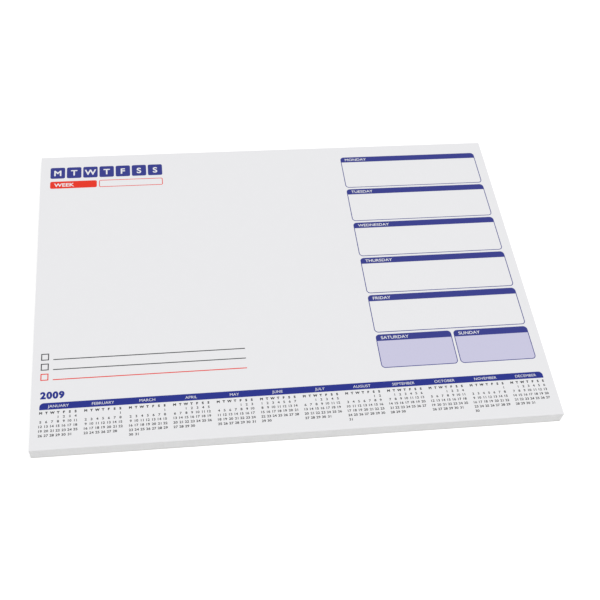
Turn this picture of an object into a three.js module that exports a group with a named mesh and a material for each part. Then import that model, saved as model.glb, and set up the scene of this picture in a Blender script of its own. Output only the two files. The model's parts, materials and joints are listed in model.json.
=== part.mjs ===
// A large tear-off desk pad: a block of printed sheets, glued along its back edge to a stiff board.
// Millimetres, +Z up. +X runs to the right of the writer and +Y away from them.
// The origin is at the middle of the pad's underside.
import * as THREE from 'three';

// The sheets and what holds them together
const pageWidth = 420;
const pageDepth = 297;
const sheetCount = 110;
const sheetThickness = 0.1;
const boardThickness = 1;
const glueThickness = 0.25;

// The print, which is a skin of ink on the top sheet
const inkThickness = 0.05;
const lineWidth = 0.65;
const cornerRadius = 3.4;
const marginLeft = 6.6;
const marginBack = 13;

// The column of day boxes down the right side
const columnWidth = 131.4;
const columnMarginRight = 8.6;
const boxGap = 2;
const dayBandDepth = 6.3;
const weekendDepth = 32.1;
const weekendToCalendar = 12.4;

// The calendar along the front edge
const calendarDepth = 39.8;
const calendarBandDepth = 5.9;
const calendarMarginRight = 7.6;

// The row of day tabs at the back left, with the week label and its field in front of it
const tabStart = 8.7;
const tabSize = 13.2;
const tabPitch = 14.8;
const tabCount = 7;
const labelWidth = 42;
const labelDepth = 8.4;
const labelGap = 3.6;
const fieldWidth = 58;
const smallRadius = 1.6;

// The list with tick boxes at the front left
const tickSize = 6.2;
const tickPitch = 9.2;
const tickLine = 0.8;
const ruleLength = 154;
const ruleDepth = 0.8;
const ruleGap = 3.4;
const listToCalendar = 20;

// Places that follow from the sizes above
const blockHeight = sheetCount * sheetThickness;
const topZ = boardThickness + blockHeight;
const leftX = -pageWidth / 2;
const rightX = pageWidth / 2;
const backY = (pageDepth - glueThickness) / 2;
const frontY = backY - pageDepth;
const calendarTopY = frontY + calendarDepth;
const weekendFrontY = calendarTopY + weekendToCalendar;
const weekendBackY = weekendFrontY + weekendDepth;
const columnRightX = rightX - columnMarginRight;
const columnLeftX = columnRightX - columnWidth;
const columnBackY = backY - marginBack;

const weekdays = ['monday', 'tuesday', 'wednesday', 'thursday', 'friday'];
const weekdayPitch = (columnBackY - weekendBackY) / weekdays.length;
const weekdayDepth = weekdayPitch - boxGap;
const weekendWidth = (columnWidth - boxGap) / 2;

// Finishes
const finish = (color, roughness) => new THREE.MeshStandardMaterial({ color, roughness, metalness: 0 });
const paper = finish(0xeaeaec, 0.85);
const board = finish(0xd2d0cc, 0.9);
const glue = finish(0xf0efe8, 0.45);
const bandInk = finish(0x393f8c, 0.6);
const calendarInk = finish(0x28338c, 0.6);
const lilacInk = finish(0xcbc9e1, 0.7);
const redInk = finish(0xe63220, 0.6);
const greyInk = finish(0x4a4a50, 0.6);

const pad = new THREE.Group();
pad.name = 'desk_pad';

function addPiece(name, geometry, material) {
  const piece = new THREE.Mesh(geometry, material);
  piece.name = name;
  pad.add(piece);
  return piece;
}

// A rectangular layer, given by its left, front and lowest corner
function addLayer(name, width, depth, height, x, y, z, material) {
  const layer = addPiece(name, new THREE.BoxGeometry(width, depth, height), material);
  layer.position.set(x + width / 2, y + depth / 2, z + height / 2);
}

// A closed outline with a corner radius of its own at the back and at the front
function roundedOutline(path, x, y, width, depth, backRadius, frontRadius) {
  const right = x + width;
  const back = y + depth;
  const quarter = Math.PI / 2;
  path.moveTo(x + frontRadius, y);
  path.lineTo(right - frontRadius, y);
  if (frontRadius > 0) path.absarc(right - frontRadius, y + frontRadius, frontRadius, -quarter, 0);
  path.lineTo(right, back - backRadius);
  if (backRadius > 0) path.absarc(right - backRadius, back - backRadius, backRadius, 0, quarter);
  path.lineTo(x + backRadius, back);
  if (backRadius > 0) path.absarc(x + backRadius, back - backRadius, backRadius, quarter, 2 * quarter);
  path.lineTo(x, y + frontRadius);
  if (frontRadius > 0) path.absarc(x + frontRadius, y + frontRadius, frontRadius, 2 * quarter, 3 * quarter);
  return path;
}

// A field of ink: its outline raised off the top sheet by the thickness of the ink
function addInk(name, shape, material) {
  const geometry = new THREE.ExtrudeGeometry(shape, {
    depth: inkThickness,
    bevelEnabled: false,
    curveSegments: 6,
  });
  addPiece(name, geometry, material).position.z = topZ;
}

// The space inside a ruled box: square against its band, rounded at the front
function boxInside(path, x, y, width, depth) {
  const innerWidth = width - 2 * lineWidth;
  const innerDepth = depth - dayBandDepth - lineWidth;
  const innerRadius = cornerRadius - lineWidth;
  return roundedOutline(path, x + lineWidth, y + lineWidth, innerWidth, innerDepth, 0, innerRadius);
}

// A day box: a solid band for the name at the back, and a thin line round the space to write in
function addDayBox(name, x, y, width, depth) {
  const shape = roundedOutline(new THREE.Shape(), x, y, width, depth, cornerRadius, cornerRadius);
  shape.holes.push(boxInside(new THREE.Path(), x, y, width, depth));
  addInk(`${name}_box`, shape, bandInk);
}

// The pad itself
addLayer('backing_board', pageWidth, pageDepth, boardThickness, leftX, frontY, 0, board);
addLayer('page_block', pageWidth, pageDepth, blockHeight, leftX, frontY, boardThickness, paper);
addLayer('binding_glue', pageWidth, glueThickness, topZ, leftX, backY, 0, glue);

// Five weekday boxes, back to front
weekdays.forEach((day, place) => {
  const backEdge = columnBackY - place * weekdayPitch;
  addDayBox(day, columnLeftX, backEdge - weekdayDepth, columnWidth, weekdayDepth);
});

// Two weekend boxes side by side, each with a pale tint in its writing space
['saturday', 'sunday'].forEach((day, place) => {
  const x = columnLeftX + place * (weekendWidth + boxGap);
  const tint = boxInside(new THREE.Shape(), x, weekendFrontY, weekendWidth, weekendDepth);
  addDayBox(day, x, weekendFrontY, weekendWidth, weekendDepth);
  addInk(`${day}_tint`, tint, lilacInk);
});

// The month band, rounded at the back and square at the front
const bandWidth = pageWidth - marginLeft - calendarMarginRight;
const bandFrontY = calendarTopY - calendarBandDepth;
const monthBand = new THREE.Shape();
roundedOutline(monthBand, leftX + marginLeft, bandFrontY, bandWidth, calendarBandDepth, cornerRadius, 0);
addInk('month_band', monthBand, calendarInk);

// Seven day tabs in a row
const tabFrontY = columnBackY - tabSize;
for (let place = 0; place < tabCount; place += 1) {
  const x = leftX + tabStart + place * tabPitch;
  const tab = roundedOutline(new THREE.Shape(), x, tabFrontY, tabSize, tabSize, smallRadius, smallRadius);
  addInk(`day_tab_${place + 1}`, tab, bandInk);
}

// The week label, with an outlined field beside it
const labelX = leftX + tabStart;
const labelY = tabFrontY - labelGap - labelDepth;
const label = new THREE.Shape();
roundedOutline(label, labelX, labelY, labelWidth, labelDepth, smallRadius, smallRadius);
addInk('week_label', label, redInk);

const fieldX = labelX + labelWidth + boxGap;
const field = new THREE.Shape();
const fieldInside = new THREE.Path();
const fieldInnerWidth = fieldWidth - 2 * lineWidth;
const fieldInnerDepth = labelDepth - 2 * lineWidth;
const fieldInnerRadius = smallRadius - lineWidth;
roundedOutline(field, fieldX, labelY, fieldWidth, labelDepth, smallRadius, smallRadius);
roundedOutline(
  fieldInside, fieldX + lineWidth, labelY + lineWidth,
  fieldInnerWidth, fieldInnerDepth, fieldInnerRadius, fieldInnerRadius,
);
field.holes.push(fieldInside);
addInk('week_field', field, redInk);

// A short list to tick off: a square frame and a writing rule on each line
[greyInk, greyInk, redInk].forEach((ink, place) => {
  const x = leftX + marginLeft;
  const y = calendarTopY + listToCalendar + (2 - place) * tickPitch;
  const innerSize = tickSize - 2 * tickLine;
  const tick = roundedOutline(new THREE.Shape(), x, y, tickSize, tickSize, 0, 0);
  tick.holes.push(roundedOutline(new THREE.Path(), x + tickLine, y + tickLine, innerSize, innerSize, 0, 0));
  addInk(`tick_box_${place + 1}`, tick, ink);
  const rule = roundedOutline(new THREE.Shape(), x + tickSize + ruleGap, y, ruleLength, ruleDepth, 0, 0);
  addInk(`list_rule_${place + 1}`, rule, ink);
});

export default pad;
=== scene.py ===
# A large tear-off desk pad on white: the looks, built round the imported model.
# Metres, +Z up, +X to the writer's right, +Y towards the glued edge.
import json
import math
from collections import Counter

import bmesh
import bpy
from mathutils import Matrix, Quaternion, Vector, geometry, noise
from mathutils.bvhtree import BVHTree

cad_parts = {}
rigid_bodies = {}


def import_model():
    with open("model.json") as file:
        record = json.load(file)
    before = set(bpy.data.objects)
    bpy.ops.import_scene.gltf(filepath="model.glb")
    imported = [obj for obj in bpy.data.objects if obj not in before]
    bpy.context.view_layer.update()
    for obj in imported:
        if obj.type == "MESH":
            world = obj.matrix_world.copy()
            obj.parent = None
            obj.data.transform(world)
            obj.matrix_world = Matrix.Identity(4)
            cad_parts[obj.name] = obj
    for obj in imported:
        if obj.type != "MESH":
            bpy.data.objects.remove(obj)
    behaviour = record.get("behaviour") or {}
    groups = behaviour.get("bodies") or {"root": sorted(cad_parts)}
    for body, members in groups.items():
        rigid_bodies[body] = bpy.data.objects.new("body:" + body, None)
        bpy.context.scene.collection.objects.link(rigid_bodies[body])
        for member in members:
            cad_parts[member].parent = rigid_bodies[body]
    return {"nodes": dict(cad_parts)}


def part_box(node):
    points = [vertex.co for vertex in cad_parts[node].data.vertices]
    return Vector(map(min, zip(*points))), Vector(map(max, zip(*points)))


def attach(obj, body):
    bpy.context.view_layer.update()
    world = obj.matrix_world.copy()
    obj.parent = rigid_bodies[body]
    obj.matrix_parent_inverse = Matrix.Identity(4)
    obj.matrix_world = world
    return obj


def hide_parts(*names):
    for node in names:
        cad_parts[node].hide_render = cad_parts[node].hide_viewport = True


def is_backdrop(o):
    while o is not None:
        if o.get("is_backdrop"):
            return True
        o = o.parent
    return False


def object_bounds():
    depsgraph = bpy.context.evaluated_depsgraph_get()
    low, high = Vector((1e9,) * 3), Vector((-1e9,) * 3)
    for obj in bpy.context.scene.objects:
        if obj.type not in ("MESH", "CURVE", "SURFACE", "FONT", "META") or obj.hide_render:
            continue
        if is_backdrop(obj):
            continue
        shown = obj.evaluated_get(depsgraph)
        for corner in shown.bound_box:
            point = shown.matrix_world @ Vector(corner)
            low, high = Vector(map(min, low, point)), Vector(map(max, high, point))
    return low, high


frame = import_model()
cad_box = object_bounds()
mm = 0.001


# Camera and light
# The pad is seen from in front and above, turned a little and rolled, as a hand-held
# camera would. A soft overhead lamp and an even white sky light it at a plain level.
photo_width = 600
camera_data = bpy.data.cameras.new("camera")
camera_data.sensor_width = 36
camera_data.lens = 58.25
camera_data.shift_x = 25 / photo_width
camera_data.shift_y = -40 / photo_width
camera_data.clip_start = 0.01
camera = bpy.data.objects.new("camera", camera_data)
bpy.context.scene.collection.objects.link(camera)
looking = Vector((0.1176, 0.5868, -0.8011))
roll = math.radians(6.35)
camera.location = (-0.1054, -0.4811, 0.6934)
camera.rotation_mode = "QUATERNION"
camera.rotation_quaternion = looking.to_track_quat("-Z", "Y") @ Quaternion((0, 0, 1), roll)
bpy.context.scene.camera = camera
bpy.context.scene.view_settings.view_transform = "Standard"

lamp_data = bpy.data.lights.new("overhead_lamp", "SUN")
lamp_data.energy = 1.5
lamp_data.angle = math.radians(50)
lamp = bpy.data.objects.new("overhead_lamp", lamp_data)
bpy.context.scene.collection.objects.link(lamp)
lamp_tilt = math.radians(19)
lamp.rotation_euler = (lamp_tilt, 0, 0)

sky_light = 0.55
world = bpy.data.worlds.new("white_studio")
bpy.context.scene.world = world
world.use_nodes = True
sky_nodes = world.node_tree.nodes
sky_links = world.node_tree.links
sky = sky_nodes["Background"]
sky.inputs["Color"].default_value = (1, 1, 1, 1)
sky_path = sky_nodes.new("ShaderNodeLightPath")
sky_level = sky_nodes.new("ShaderNodeMapRange")
sky_level.inputs["To Min"].default_value = sky_light
sky_level.inputs["To Max"].default_value = 1
sky_links.new(sky_path.outputs["Is Camera Ray"], sky_level.inputs["Value"])
sky_links.new(sky_level.outputs["Result"], sky.inputs["Strength"])


# Floor
# A plain white sweep of board under the pad. The camera sees it brighter than it lights
# the pad, so it stays white while its shade under the pad's edges remains.
floor_size = 8
floor_drop = 0.1 * mm
floor_glow = 0.12
floor_mesh = bmesh.new()
bmesh.ops.create_grid(floor_mesh, x_segments=1, y_segments=1, size=floor_size / 2)
floor_data = bpy.data.meshes.new("floor")
floor_mesh.transform(Matrix.Translation((0, 0, -floor_drop)))
floor_mesh.to_mesh(floor_data)
floor_mesh.free()
floor = bpy.data.objects.new("floor", floor_data)
bpy.context.scene.collection.objects.link(floor)

floor_paint = bpy.data.materials.new("floor_white")
floor_paint.use_nodes = True
nodes = floor_paint.node_tree.nodes
links = floor_paint.node_tree.links
paint = nodes["Principled BSDF"]
paint.inputs["Roughness"].default_value = 0.9
paint.inputs["Specular IOR Level"].default_value = 0.1
paint.inputs["Emission Color"].default_value = (1, 1, 1, 1)
light_path = nodes.new("ShaderNodeLightPath")
tone = nodes.new("ShaderNodeMix")
tone.data_type = "RGBA"
tone.inputs["A"].default_value = (0.8, 0.8, 0.8, 1)
tone.inputs["B"].default_value = (1, 1, 1, 1)
glow = nodes.new("ShaderNodeMath")
glow.operation = "MULTIPLY"
glow.inputs[1].default_value = floor_glow
links.new(light_path.outputs["Is Camera Ray"], tone.inputs["Factor"])
links.new(light_path.outputs["Is Camera Ray"], glow.inputs[0])
links.new(tone.outputs["Result"], paint.inputs["Base Color"])
links.new(glow.outputs["Value"], paint.inputs["Emission Strength"])
floor_data.materials.append(floor_paint)
floor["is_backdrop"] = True


# Sheets
# Some 110 sheets of smooth 80 gsm writing paper, cut square in one stack. Each lies
# within a few hundredths of a millimetre of its neighbours, as the guillotine leaves it.
def group_sockets(group, inputs, outputs):
    """Adds named inputs and outputs to a node group: name, socket type and default."""
    for label, kind, default in inputs:
        socket = group.interface.new_socket(label, in_out="INPUT", socket_type=kind)
        if default is not None:
            socket.default_value = default
    for label, kind in outputs:
        group.interface.new_socket(label, in_out="OUTPUT", socket_type=kind)
    return group.nodes.new("NodeGroupInput"), group.nodes.new("NodeGroupOutput")


def fibre_group():
    """Paper fibre: two crossed lays of fine hairs for height, and soft clouds for tone."""
    lay_turns = (35, -48)
    hair_share = 0.4
    cloud_share = 0.6
    group = bpy.data.node_groups.new("paper_fibre", "ShaderNodeTree")
    given, result = group_sockets(
        group,
        [("Fibres per metre", "NodeSocketFloat", 2200), ("Clouds per metre", "NodeSocketFloat", 90)],
        [("Tone", "NodeSocketFloat"), ("Height", "NodeSocketFloat")],
    )
    place = group.nodes.new("ShaderNodeTexCoord")
    lays = []
    for turn in lay_turns:
        lay = group.nodes.new("ShaderNodeMapping")
        lay.inputs["Rotation"].default_value = (0.3, 0.2, math.radians(turn))
        lay.inputs["Scale"].default_value = (0.18, 1, 1)
        hairs = group.nodes.new("ShaderNodeTexNoise")
        hairs.inputs["Detail"].default_value = 3
        group.links.new(place.outputs["Object"], lay.inputs["Vector"])
        group.links.new(lay.outputs["Vector"], hairs.inputs["Vector"])
        group.links.new(given.outputs["Fibres per metre"], hairs.inputs["Scale"])
        lays.append(hairs.outputs["Fac"])
    crossed = group.nodes.new("ShaderNodeMath")
    crossed.operation = "MAXIMUM"
    group.links.new(lays[0], crossed.inputs[0])
    group.links.new(lays[1], crossed.inputs[1])
    clouds = group.nodes.new("ShaderNodeTexNoise")
    clouds.inputs["Detail"].default_value = 5
    group.links.new(place.outputs["Object"], clouds.inputs["Vector"])
    group.links.new(given.outputs["Clouds per metre"], clouds.inputs["Scale"])
    tone_mix = group.nodes.new("ShaderNodeMath")
    tone_mix.operation = "MULTIPLY_ADD"
    tone_mix.inputs[1].default_value = hair_share
    group.links.new(crossed.outputs["Value"], tone_mix.inputs[0])
    cloud_part = group.nodes.new("ShaderNodeMath")
    cloud_part.operation = "MULTIPLY"
    cloud_part.inputs[1].default_value = cloud_share
    group.links.new(clouds.outputs["Fac"], cloud_part.inputs[0])
    group.links.new(cloud_part.outputs["Value"], tone_mix.inputs[2])
    group.links.new(tone_mix.outputs["Value"], result.inputs["Tone"])
    group.links.new(crossed.outputs["Value"], result.inputs["Height"])
    return group


paper_fibre = fibre_group()


def fibre_finish(name, dark, light, roughness, relief, fibres=2200, clouds=90):
    """A dull fibrous surface: its colour wanders from dark to light with the fibre."""
    material = bpy.data.materials.new(name)
    material.use_nodes = True
    tree = material.node_tree
    shader = tree.nodes["Principled BSDF"]
    shader.inputs["Specular IOR Level"].default_value = 0.25
    fibre = tree.nodes.new("ShaderNodeGroup")
    fibre.node_tree = paper_fibre
    fibre.inputs["Fibres per metre"].default_value = fibres
    fibre.inputs["Clouds per metre"].default_value = clouds
    colour = tree.nodes.new("ShaderNodeMix")
    colour.data_type = "RGBA"
    colour.inputs["A"].default_value = (*dark, 1)
    colour.inputs["B"].default_value = (*light, 1)
    dullness = tree.nodes.new("ShaderNodeMapRange")
    dullness.inputs["From Min"].default_value = 0.3
    dullness.inputs["From Max"].default_value = 0.7
    dullness.inputs["To Min"].default_value = roughness - 0.05
    dullness.inputs["To Max"].default_value = roughness + 0.05
    bump = tree.nodes.new("ShaderNodeBump")
    bump.inputs["Distance"].default_value = relief
    bump.inputs["Strength"].default_value = 0.5
    tree.links.new(fibre.outputs["Tone"], colour.inputs["Factor"])
    tree.links.new(fibre.outputs["Tone"], dullness.inputs["Value"])
    tree.links.new(fibre.outputs["Height"], bump.inputs["Height"])
    tree.links.new(colour.outputs["Result"], shader.inputs["Base Color"])
    tree.links.new(dullness.outputs["Result"], shader.inputs["Roughness"])
    tree.links.new(bump.outputs["Normal"], shader.inputs["Normal"])
    return material


def cut_edge_finish():
    """The guillotined side of the stack: one tone a sheet, crossed by faint blade marks."""
    material = fibre_finish("cut_sheet_edges", (0.815, 0.815, 0.813), (0.847, 0.847, 0.844), 0.9, 0.01 * mm)
    tree = material.node_tree
    shader = tree.nodes["Principled BSDF"]
    plain = shader.inputs["Base Color"].links[0].from_socket
    place = tree.nodes.new("ShaderNodeTexCoord")
    by_sheet = tree.nodes.new("ShaderNodeMapping")
    by_sheet.inputs["Scale"].default_value = (6, 6, 1600)
    sheet_tone = tree.nodes.new("ShaderNodeTexNoise")
    sheet_tone.inputs["Scale"].default_value = 1
    sheet_tone.inputs["Detail"].default_value = 4
    sheet_tone.inputs["Roughness"].default_value = 0.75
    by_mark = tree.nodes.new("ShaderNodeMapping")
    by_mark.inputs["Scale"].default_value = (900, 900, 25)
    mark_tone = tree.nodes.new("ShaderNodeTexNoise")
    mark_tone.inputs["Scale"].default_value = 1
    both = tree.nodes.new("ShaderNodeMath")
    both.operation = "MULTIPLY"
    shade = tree.nodes.new("ShaderNodeMapRange")
    shade.inputs["From Min"].default_value = 0.12
    shade.inputs["From Max"].default_value = 0.38
    shade.inputs["To Min"].default_value = 0.965
    shade.inputs["To Max"].default_value = 1
    darken = tree.nodes.new("ShaderNodeVectorMath")
    darken.operation = "SCALE"
    for mapping, texture in ((by_sheet, sheet_tone), (by_mark, mark_tone)):
        tree.links.new(place.outputs["Object"], mapping.inputs["Vector"])
        tree.links.new(mapping.outputs["Vector"], texture.inputs["Vector"])
    tree.links.new(sheet_tone.outputs["Fac"], both.inputs[0])
    tree.links.new(mark_tone.outputs["Fac"], both.inputs[1])
    tree.links.new(both.outputs["Value"], shade.inputs["Value"])
    tree.links.new(plain, darken.inputs[0])
    tree.links.new(shade.outputs["Result"], darken.inputs["Scale"])
    tree.links.new(darken.outputs["Vector"], shader.inputs["Base Color"])
    return material


def sheet_stack_tree():
    """A stack of equal sheets, each slipped a little, with its cut sides in a finish of their own."""
    tree = bpy.data.node_groups.new("sheet_stack", "GeometryNodeTree")
    given, result = group_sockets(
        tree,
        [
            ("Geometry", "NodeSocketGeometry", None),
            ("Sheets", "NodeSocketInt", 110),
            ("Sheet size", "NodeSocketVector", (0.42, 0.297, 0.0001)),
            ("Pitch", "NodeSocketFloat", 0.0001),
            ("Lowest middle", "NodeSocketVector", (0, 0, 0)),
            ("Slip", "NodeSocketFloat", 0.00004),
            ("Face", "NodeSocketMaterial", None),
            ("Cut edge", "NodeSocketMaterial", None),
        ],
        [("Geometry", "NodeSocketGeometry")],
    )
    add = tree.nodes.new
    join = tree.links.new
    rise = add("ShaderNodeCombineXYZ")
    join(given.outputs["Pitch"], rise.inputs["Z"])
    column = add("GeometryNodeMeshLine")
    join(given.outputs["Sheets"], column.inputs["Count"])
    join(given.outputs["Lowest middle"], column.inputs["Start Location"])
    join(rise.outputs["Vector"], column.inputs["Offset"])
    sheet = add("GeometryNodeMeshCube")
    join(given.outputs["Sheet size"], sheet.inputs["Size"])
    stack = add("GeometryNodeInstanceOnPoints")
    join(column.outputs["Mesh"], stack.inputs["Points"])
    join(sheet.outputs["Mesh"], stack.inputs["Instance"])
    lot = add("FunctionNodeRandomValue")
    lot.data_type = "FLOAT_VECTOR"
    lot.inputs["Min"].default_value = (-1, -1, 0)
    lot.inputs["Max"].default_value = (1, 0, 0)
    lot.inputs["Seed"].default_value = 4
    slide = add("ShaderNodeVectorMath")
    slide.operation = "SCALE"
    join(lot.outputs["Value"], slide.inputs[0])
    join(given.outputs["Slip"], slide.inputs["Scale"])
    slipped = add("GeometryNodeTranslateInstances")
    join(stack.outputs["Instances"], slipped.inputs["Instances"])
    join(slide.outputs["Vector"], slipped.inputs["Translation"])
    real = add("GeometryNodeRealizeInstances")
    join(slipped.outputs["Instances"], real.inputs["Geometry"])
    faced = add("GeometryNodeSetMaterial")
    join(real.outputs["Geometry"], faced.inputs["Geometry"])
    join(given.outputs["Face"], faced.inputs["Material"])
    facing = add("GeometryNodeInputNormal")
    split = add("ShaderNodeSeparateXYZ")
    join(facing.outputs["Normal"], split.inputs["Vector"])
    upright = add("ShaderNodeMath")
    upright.operation = "ABSOLUTE"
    join(split.outputs["Z"], upright.inputs[0])
    is_side = add("FunctionNodeCompare")
    is_side.operation = "LESS_THAN"
    is_side.inputs["B"].default_value = 0.5
    join(upright.outputs["Value"], is_side.inputs["A"])
    edged = add("GeometryNodeSetMaterial")
    join(faced.outputs["Geometry"], edged.inputs["Geometry"])
    join(is_side.outputs["Result"], edged.inputs["Selection"])
    join(given.outputs["Cut edge"], edged.inputs["Material"])
    join(edged.outputs["Geometry"], result.inputs["Geometry"])
    return tree


def grown_mesh(name, tree, **settings):
    """Runs a geometry tree with these inputs and returns its result as a plain mesh."""
    grower = bpy.data.objects.new(name, bpy.data.meshes.new(name + "_seed"))
    bpy.context.scene.collection.objects.link(grower)
    modifier = grower.modifiers.new("grow", "NODES")
    modifier.node_group = tree
    for item in tree.interface.items_tree:
        key = item.name.lower().replace(" ", "_")
        if item.in_out == "INPUT" and key in settings:
            modifier[item.identifier] = settings[key]
    bpy.context.view_layer.update()
    depsgraph = bpy.context.evaluated_depsgraph_get()
    mesh = bpy.data.meshes.new_from_object(grower.evaluated_get(depsgraph), depsgraph=depsgraph)
    mesh.name = name
    bpy.data.objects.remove(grower)
    return mesh


def show(name, mesh):
    """Links a finished mesh as a piece of the pad."""
    piece = bpy.data.objects.new(name, mesh)
    bpy.context.scene.collection.objects.link(piece)
    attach(piece, "root")
    return piece


writing_paper = fibre_finish("writing_paper", (0.812, 0.812, 0.828), (0.834, 0.834, 0.85), 0.86, 0.006 * mm)
cut_edges = cut_edge_finish()
block_low, block_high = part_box("page_block")
block_size = block_high - block_low
sheets = 110
sheet_pitch = block_size.z / sheets
air = 0.006 * mm
slip = 0.04 * mm
stack_mesh = grown_mesh(
    "sheet_stack",
    sheet_stack_tree(),
    sheets=sheets,
    sheet_size=(block_size.x, block_size.y, sheet_pitch - air),
    pitch=sheet_pitch,
    lowest_middle=(
        (block_low.x + block_high.x) / 2,
        (block_low.y + block_high.y) / 2,
        block_low.z + sheet_pitch / 2 + air / 2,
    ),
    slip=slip,
    face=writing_paper,
    cut_edge=cut_edges,
)
sheet_stack = show("sheet_stack", stack_mesh)
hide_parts("page_block")


# Backing board
# A stiff sheet of white-lined grey board, a millimetre thick, cut flush with the sheets.
# Recycled pulp leaves it with coarser fibres and darker flecks than the paper.
def board_finish():
    """Grey board: coarse pulp, strewn with small dark flecks."""
    material = fibre_finish(
        "lined_board", (0.6, 0.595, 0.58), (0.7, 0.695, 0.68), 0.9, 0.03 * mm, fibres=900, clouds=60
    )
    tree = material.node_tree
    shader = tree.nodes["Principled BSDF"]
    pulp = shader.inputs["Base Color"].links[0].from_socket
    place = tree.nodes.new("ShaderNodeTexCoord")
    stretch = tree.nodes.new("ShaderNodeMapping")
    stretch.inputs["Scale"].default_value = (1, 0.45, 1)
    cells = tree.nodes.new("ShaderNodeTexVoronoi")
    cells.inputs["Scale"].default_value = 900
    fleck = tree.nodes.new("ShaderNodeMapRange")
    fleck.inputs["From Min"].default_value = 0.08
    fleck.inputs["From Max"].default_value = 0.2
    fleck.inputs["To Min"].default_value = 0.3
    fleck.inputs["To Max"].default_value = 0
    spotted = tree.nodes.new("ShaderNodeMix")
    spotted.data_type = "RGBA"
    spotted.inputs["B"].default_value = (0.36, 0.35, 0.335, 1)
    tree.links.new(place.outputs["Object"], stretch.inputs["Vector"])
    tree.links.new(stretch.outputs["Vector"], cells.inputs["Vector"])
    tree.links.new(cells.outputs["Distance"], fleck.inputs["Value"])
    tree.links.new(fleck.outputs["Result"], spotted.inputs["Factor"])
    tree.links.new(pulp, spotted.inputs["A"])
    tree.links.new(spotted.outputs["Result"], shader.inputs["Base Color"])
    return material


def dress(node, material):
    """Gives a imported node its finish."""
    piece = frame["nodes"][node]
    piece.data.materials.clear()
    piece.data.materials.append(material)


dress("backing_board", board_finish())


# Padding glue
# A milky film brushed along the back edge of the clamped stack and dried to a skin. It
# follows the sheet edges, thins out towards the top sheet and keeps the brush's streaks.
def glue_finish():
    """Dried glue: milky, softly glossy, streaked along the edge by the brush."""
    material = bpy.data.materials.new("padding_glue")
    material.use_nodes = True
    tree = material.node_tree
    shader = tree.nodes["Principled BSDF"]
    shader.inputs["Subsurface Weight"].default_value = 0
    shader.inputs["Coat Weight"].default_value = 0.3
    shader.inputs["Coat Roughness"].default_value = 0.25
    place = tree.nodes.new("ShaderNodeTexCoord")
    brushed = tree.nodes.new("ShaderNodeMapping")
    brushed.inputs["Scale"].default_value = (30, 30, 1500)
    streaks = tree.nodes.new("ShaderNodeTexNoise")
    streaks.inputs["Scale"].default_value = 1
    streaks.inputs["Detail"].default_value = 4
    colour = tree.nodes.new("ShaderNodeMix")
    colour.data_type = "RGBA"
    colour.inputs["A"].default_value = (0.72, 0.71, 0.66, 1)
    colour.inputs["B"].default_value = (0.86, 0.855, 0.82, 1)
    shine = tree.nodes.new("ShaderNodeMapRange")
    shine.inputs["To Min"].default_value = 0.3
    shine.inputs["To Max"].default_value = 0.6
    bump = tree.nodes.new("ShaderNodeBump")
    bump.inputs["Distance"].default_value = 0.03 * mm
    bump.inputs["Strength"].default_value = 0.6
    tree.links.new(place.outputs["Object"], brushed.inputs["Vector"])
    tree.links.new(brushed.outputs["Vector"], streaks.inputs["Vector"])
    tree.links.new(streaks.outputs["Fac"], colour.inputs["Factor"])
    tree.links.new(streaks.outputs["Fac"], shine.inputs["Value"])
    tree.links.new(streaks.outputs["Fac"], bump.inputs["Height"])
    tree.links.new(colour.outputs["Result"], shader.inputs["Base Color"])
    tree.links.new(shine.outputs["Result"], shader.inputs["Roughness"])
    tree.links.new(bump.outputs["Normal"], shader.inputs["Normal"])
    return material


def glue_film(low, high, columns, rows):
    """A closed skin: flat against the sheets, uneven outside, with a wandering top edge."""
    film = bmesh.new()
    inner = []
    outer = []
    bare_strip = 0.25 * mm
    most_wander = 0.12 * mm
    usual_body = 0.62
    uneven_body = 0.3
    thinnest = 0.25
    for row in range(rows + 1):
        up = row / rows
        inner_row = []
        outer_row = []
        for column in range(columns + 1):
            along = column / columns
            x = low.x + (high.x - low.x) * along
            wander = noise.noise(Vector((x * 90, 2, 5))) * most_wander
            top = high.z - bare_strip + wander
            z = low.z + (top - low.z) * up
            body = usual_body + uneven_body * noise.noise(Vector((x * 60, 7, z * 700)))
            thin = min(1, 6 * up * (1 - up) + thinnest)
            y = low.y + (high.y - low.y) * body * thin
            inner_row.append(film.verts.new((x, low.y, z)))
            outer_row.append(film.verts.new((x, y, z)))
        inner.append(inner_row)
        outer.append(outer_row)
    sheet_line = inner[0]
    film_line = outer[0]
    for inner_next, outer_next in zip(inner[1:], outer[1:]):
        for near in range(columns):
            far = near + 1
            film.faces.new((film_line[far], film_line[near], outer_next[near], outer_next[far]))
            film.faces.new((sheet_line[near], sheet_line[far], inner_next[far], inner_next[near]))
        for end in (0, columns):
            film.faces.new((sheet_line[end], inner_next[end], outer_next[end], film_line[end]))
        sheet_line = inner_next
        film_line = outer_next
    for inside, outside in ((inner[0], outer[0]), (inner[rows], outer[rows])):
        for near in range(columns):
            far = near + 1
            film.faces.new((inside[near], inside[far], outside[far], outside[near]))
    bmesh.ops.recalc_face_normals(film, faces=film.faces)
    for face in film.faces:
        face.smooth = abs(face.normal.y) > 0.9
    mesh = bpy.data.meshes.new("glue_film")
    film.to_mesh(mesh)
    film.free()
    return mesh


glue_low, glue_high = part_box("binding_glue")
film_mesh = glue_film(glue_low, glue_high, columns=420, rows=14)
film_mesh.materials.append(glue_finish())
film_piece = show("glue_film", film_mesh)
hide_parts("binding_glue")


# Printed fields
# Bands, outlines and tints printed on the top sheet in blue, lilac, red and dark grey
# offset ink. The ink is dull and sinks a little into the paper, so the fibre shows through.
def ink_finish(name, colour, spread=0.06):
    """Offset ink: the colour breaks slightly where the fibre stands up."""
    dark = tuple(part * (1 - spread) for part in colour)
    light = tuple(part * (1 + spread) for part in colour)
    return fibre_finish(name, dark, light, 0.62, 0.004 * mm, clouds=400)


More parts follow.
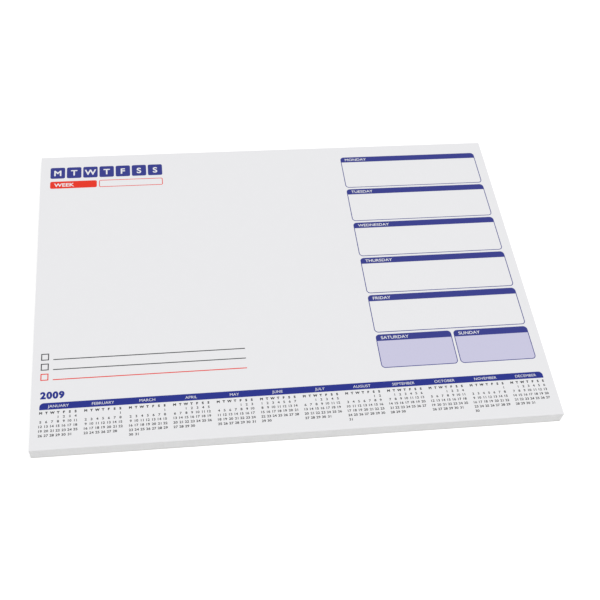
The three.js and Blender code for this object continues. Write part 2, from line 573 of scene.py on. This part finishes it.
blue_ink = ink_finish("blue_ink", (0.0355, 0.0435, 0.255))
deep_blue_ink = ink_finish("deep_blue_ink", (0.016, 0.028, 0.256))
lilac_ink = ink_finish("lilac_ink", (0.597, 0.584, 0.753), spread=0.012)
red_ink = ink_finish("red_ink", (0.8, 0.033, 0.014))
grey_ink = ink_finish("dark_grey_ink", (0.05, 0.05, 0.056))

weekdays = ["monday", "tuesday", "wednesday", "thursday", "friday"]
weekend = ["saturday", "sunday"]
for day in weekdays + weekend:
    dress(day + "_box", blue_ink)
for day in weekend:
    dress(day + "_tint", lilac_ink)
for number in range(1, 8):
    dress(f"day_tab_{number}", blue_ink)
dress("month_band", deep_blue_ink)
dress("week_label", red_ink)
dress("week_field", red_ink)
for number, ink in ((1, grey_ink), (2, grey_ink), (3, red_ink)):
    dress(f"tick_box_{number}", ink)
    dress(f"list_rule_{number}", ink)


# Day names
# Plain bold capitals left bare in the blue bands, so the white of the sheet reads through
# the ink. Each word is a very thin solid that lies on its band.
ink_skin = 0.01 * mm
capital_share = 0.729
nib_sides = 16
same_spot = 0.0004
slight_bend = math.radians(12)


def plain_word(words, smoothness, spacing):
    """A word in plain capitals or numerals as a flat mesh, in a type size of one unit."""
    curve = bpy.data.curves.new("word", "FONT")
    curve.body = words
    curve.size = 1
    curve.space_character = spacing
    curve.resolution_u = smoothness
    writer = bpy.data.objects.new("word", curve)
    bpy.context.scene.collection.objects.link(writer)
    bpy.context.view_layer.update()
    depsgraph = bpy.context.evaluated_depsgraph_get()
    flat = bpy.data.meshes.new_from_object(writer.evaluated_get(depsgraph), depsgraph=depsgraph)
    bpy.data.objects.remove(writer)
    return flat


def nib_strokes(spots, rim, weight):
    """What a round nib of this radius covers as it goes along each side of an outline."""
    turns = [math.radians(place * 360 / nib_sides) for place in range(nib_sides)]
    nib = [Vector((math.cos(turn), math.sin(turn))) * weight for turn in turns]
    for start, end in rim:
        touched = [spots[place] + reach for place in (start, end) for reach in nib]
        yield [touched[place] for place in geometry.convex_hull_2d(touched)]


def bold_outline(flat, weight):
    """The word with its outline gone over by a round nib, which makes its strokes bolder."""
    faces_beside = Counter(side for face in flat.polygons for side in face.edge_keys)
    rim = [side for side, faces in faces_beside.items() if faces == 1]
    spots = [vertex.co.xy for vertex in flat.vertices]
    areas = [list(face.vertices) for face in flat.polygons]
    sides = rim
    if weight:
        sides = []
        for hull in nib_strokes(spots[:], rim, weight):
            stroke = list(range(len(spots), len(spots) + len(hull)))
            spots += hull
            areas.append(stroke)
            sides += zip(stroke, stroke[1:] + stroke[:1])
    inked = BVHTree.FromPolygons([spot.to_3d() for spot in spots], areas)
    merged = geometry.delaunay_2d_cdt(spots, sides, [], 0, same_spot)
    corners = [spot.to_3d() for spot in merged[0]]
    kept = []
    for area in merged[2]:
        middle = sum((corners[place] for place in area), Vector()) / 3
        if inked.find_nearest(middle)[3] < same_spot:
            kept.append(area)
    return corners, kept


def word_mesh(words, cap_height, stretch, weight, smoothness=8, spacing=1):
    """A word as a thin closed solid: middle of its left edge at the origin, lying face up."""
    flat = plain_word(words, smoothness, spacing)
    spots, areas = bold_outline(flat, weight)
    bpy.data.meshes.remove(flat)
    solid = bmesh.new()
    corners = [solid.verts.new(spot) for spot in spots]
    for area in areas:
        solid.faces.new([corners[place] for place in area])
    loose = [corner for corner in corners if not corner.link_faces]
    bmesh.ops.delete(solid, geom=loose, context="VERTS")
    bmesh.ops.dissolve_limit(solid, angle_limit=slight_bend, verts=solid.verts, edges=solid.edges)
    bmesh.ops.triangulate(solid, faces=solid.faces)
    raised = bmesh.ops.extrude_face_region(solid, geom=solid.faces[:])["geom"]
    top = [corner for corner in raised if isinstance(corner, bmesh.types.BMVert)]
    bmesh.ops.translate(solid, verts=top, vec=(0, 0, 1))
    bmesh.ops.recalc_face_normals(solid, faces=solid.faces)
    scale = cap_height / (capital_share + 2 * weight)
    left = min(corner.co.x for corner in solid.verts)
    shift = Matrix.Translation((-left, -capital_share / 2, 0))
    size = Matrix.Diagonal((scale * stretch, scale, ink_skin, 1))
    solid.transform(size @ shift)
    mesh = bpy.data.meshes.new("word")
    solid.to_mesh(mesh)
    solid.free()
    return mesh


def set_words(name, settings, material, slot_name, centred=False, **lettering):
    """Sets words on the pad as one piece. Each setting holds the words, x, y and height."""
    page = bmesh.new()
    for words, x, y, z in settings:
        mesh = word_mesh(words, **lettering)
        width = max(vertex.co.x for vertex in mesh.vertices)
        back_by = width / 2 if centred else 0
        mesh.transform(Matrix.Translation((x - back_by, y, z)))
        page.from_mesh(mesh)
        bpy.data.meshes.remove(mesh)
    joined = bpy.data.meshes.new(name)
    page.to_mesh(joined)
    page.free()
    joined.materials.append(material)
    show(name, joined)


band_depth = 6.3 * mm
name_indent = 4.3 * mm
day_names = []
for day in weekdays + weekend:
    low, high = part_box(day + "_box")
    day_names.append((day.upper(), low.x + name_indent, high.y - band_depth / 2, high.z))
set_words(
    "day_names", day_names, writing_paper, "paper", cap_height=3 * mm, stretch=1.18, weight=0.012
)


# Tab letters and week label
# The initials of the days stand in the seven tabs, and the red label carries one plain
# word, both left bare in the ink as the day names are.
initials = "MTWTFSS"
tab_letters = []
for number, letter in enumerate(initials, 1):
    low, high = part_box(f"day_tab_{number}")
    tab_letters.append((letter, (low.x + high.x) / 2, (low.y + high.y) / 2, high.z))
set_words(
    "tab_letters",
    tab_letters,
    writing_paper,
    "paper",
    centred=True,
    cap_height=7 * mm,
    stretch=1.05,
    weight=0.025,
)

label_indent = 3.6 * mm
low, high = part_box("week_label")
label_word = ("WEEK", low.x + label_indent, (low.y + high.y) / 2, high.z)
set_words(
    "label_word", [label_word], writing_paper, "paper", cap_height=4.4 * mm, stretch=1.15, weight=0.025
)


# Calendar names
# Twelve month names in plain white capitals in the deep blue band, and the year in blue
# numerals behind its left end.
months = ["JANUARY", "FEBRUARY", "MARCH", "APRIL", "MAY", "JUNE", "JULY"]
months += ["AUGUST", "SEPTEMBER", "OCTOBER", "NOVEMBER", "DECEMBER"]
band_low, band_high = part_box("month_band")
month_pitch = 34.25 * mm
column_pitch = 4.42 * mm
column_inset = 1.2 * mm
first_column = band_low.x + column_inset
month_names = []
for place, month in enumerate(months):
    middle = first_column + place * month_pitch + 3 * column_pitch
    month_names.append((month, middle, (band_low.y + band_high.y) / 2, band_high.z))
set_words(
    "month_names",
    month_names,
    writing_paper,
    "paper",
    centred=True,
    cap_height=2.4 * mm,
    stretch=1.12,
    weight=0,
)

year_height = 6.8 * mm
year_inset = 0.3 * mm
year_gap = 3.4 * mm
year_middle = band_high.y + year_gap + year_height / 2
year_word = ("2009", band_low.x + year_inset, year_middle, block_high.z)
set_words(
    "year_numerals",
    [year_word],
    deep_blue_ink,
    "deep_blue_ink",
    cap_height=year_height,
    stretch=1.02,
    weight=0.059,
    spacing=1.16,
)


# Calendar dates
# Under each month name stand the days' initials and the dates of that month, in small
# dark numerals on an even grid of seven columns, week by week.
def date_grid_tree():
    """Sets a collection's figures one by one on a grid, from a given first column."""
    tree = bpy.data.node_groups.new("date_grid", "GeometryNodeTree")
    given, result = group_sockets(
        tree,
        [
            ("Geometry", "NodeSocketGeometry", None),
            ("Figures", "NodeSocketCollection", None),
            ("Count", "NodeSocketInt", 31),
            ("Start column", "NodeSocketInt", 0),
            ("Columns", "NodeSocketInt", 7),
            ("Column pitch", "NodeSocketFloat", 0.004),
            ("Row pitch", "NodeSocketFloat", 0.004),
            ("Corner", "NodeSocketVector", (0, 0, 0)),
            ("Ink", "NodeSocketMaterial", None),
        ],
        [("Geometry", "NodeSocketGeometry")],
    )
    add = tree.nodes.new
    join = tree.links.new

    def reckon(operation, first, second):
        step = add("ShaderNodeMath")
        step.operation = operation
        join(first, step.inputs[0])
        join(second, step.inputs[1])
        return step.outputs["Value"]

    line = add("GeometryNodeMeshLine")
    join(given.outputs["Count"], line.inputs["Count"])
    number = add("GeometryNodeInputIndex").outputs["Index"]
    cell = reckon("ADD", number, given.outputs["Start column"])
    column = reckon("MODULO", cell, given.outputs["Columns"])
    whole_rows = reckon("SUBTRACT", cell, column)
    row = reckon("DIVIDE", whole_rows, given.outputs["Columns"])
    across = reckon("MULTIPLY", column, given.outputs["Column pitch"])
    down = reckon("MULTIPLY", row, given.outputs["Row pitch"])
    minus = add("ShaderNodeMath")
    minus.operation = "MULTIPLY"
    minus.inputs[1].default_value = -1
    join(down, minus.inputs[0])
    spot = add("ShaderNodeCombineXYZ")
    join(across, spot.inputs["X"])
    join(minus.outputs["Value"], spot.inputs["Y"])
    from_corner = add("ShaderNodeVectorMath")
    join(spot.outputs["Vector"], from_corner.inputs[0])
    join(given.outputs["Corner"], from_corner.inputs[1])
    placed = add("GeometryNodeSetPosition")
    join(line.outputs["Mesh"], placed.inputs["Geometry"])
    join(from_corner.outputs["Vector"], placed.inputs["Position"])
    figures = add("GeometryNodeCollectionInfo")
    figures.inputs["Separate Children"].default_value = True
    figures.inputs["Reset Children"].default_value = True
    join(given.outputs["Figures"], figures.inputs["Collection"])
    set_out = add("GeometryNodeInstanceOnPoints")
    set_out.inputs["Pick Instance"].default_value = True
    join(placed.outputs["Geometry"], set_out.inputs["Points"])
    join(figures.outputs["Instances"], set_out.inputs["Instance"])
    join(number, set_out.inputs["Instance Index"])
    real = add("GeometryNodeRealizeInstances")
    join(set_out.outputs["Instances"], real.inputs["Geometry"])
    inked = add("GeometryNodeSetMaterial")
    join(real.outputs["Geometry"], inked.inputs["Geometry"])
    join(given.outputs["Ink"], inked.inputs["Material"])
    join(inked.outputs["Geometry"], result.inputs["Geometry"])
    return tree


def figure_collection(name, texts, **lettering):
    """One small solid for each figure, centred on the origin and kept in order."""
    figures = bpy.data.collections.new(name)
    for place, text in enumerate(texts):
        mesh = word_mesh(text, smoothness=3, **lettering)
        width = max(vertex.co.x for vertex in mesh.vertices)
        mesh.transform(Matrix.Translation((-width / 2, 0, 0)))
        figures.objects.link(bpy.data.objects.new(f"{name}_{place:02d}", mesh))
    return figures


def set_calendar(name, figures, counts, start_columns, first_row, material):
    """Sets the same figures under all twelve months as one piece."""
    page = bmesh.new()
    for place, (count, start_column) in enumerate(zip(counts, start_columns)):
        corner = (first_column + place * month_pitch, first_row, block_high.z)
        mesh = grown_mesh(
            name,
            date_tree,
            figures=figures,
            count=count,
            start_column=start_column,
            column_pitch=column_pitch,
            row_pitch=row_pitch,
            corner=corner,
            ink=material,
        )
        page.from_mesh(mesh)
        bpy.data.meshes.remove(mesh)
    joined = bpy.data.meshes.new(name)
    page.to_mesh(joined)
    page.free()
    joined.materials.append(material)
    for figure in list(figures.objects):
        bpy.data.objects.remove(figure)
    bpy.data.collections.remove(figures)
    show(name, joined)


date_tree = date_grid_tree()
row_pitch = 3.84 * mm
letter_drop = 2.7 * mm
letter_row = band_low.y - letter_drop
date_row = letter_row - row_pitch
month_days = [31, 28, 31, 30, 31, 30, 31, 31, 30, 31, 30, 31]
new_year_column = 3
start_columns = [(new_year_column + sum(month_days[:place])) % 7 for place in range(12)]
calendar_black = ink_finish("calendar_black", (0.014, 0.014, 0.017))

day_letters = figure_collection(
    "day_letter", initials, cap_height=2.3 * mm, stretch=1.12, weight=0.06
)
set_calendar("calendar_letters", day_letters, [7] * 12, [0] * 12, letter_row, calendar_black)
dates = [str(day) for day in range(1, 32)]
numerals = figure_collection("numeral", dates, cap_height=2.2 * mm, stretch=1.18, weight=0.026)
set_calendar("calendar_dates", numerals, month_days, start_columns, date_row, calendar_black)


boxes = [[list(corner) for corner in box] for box in (cad_box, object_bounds())]
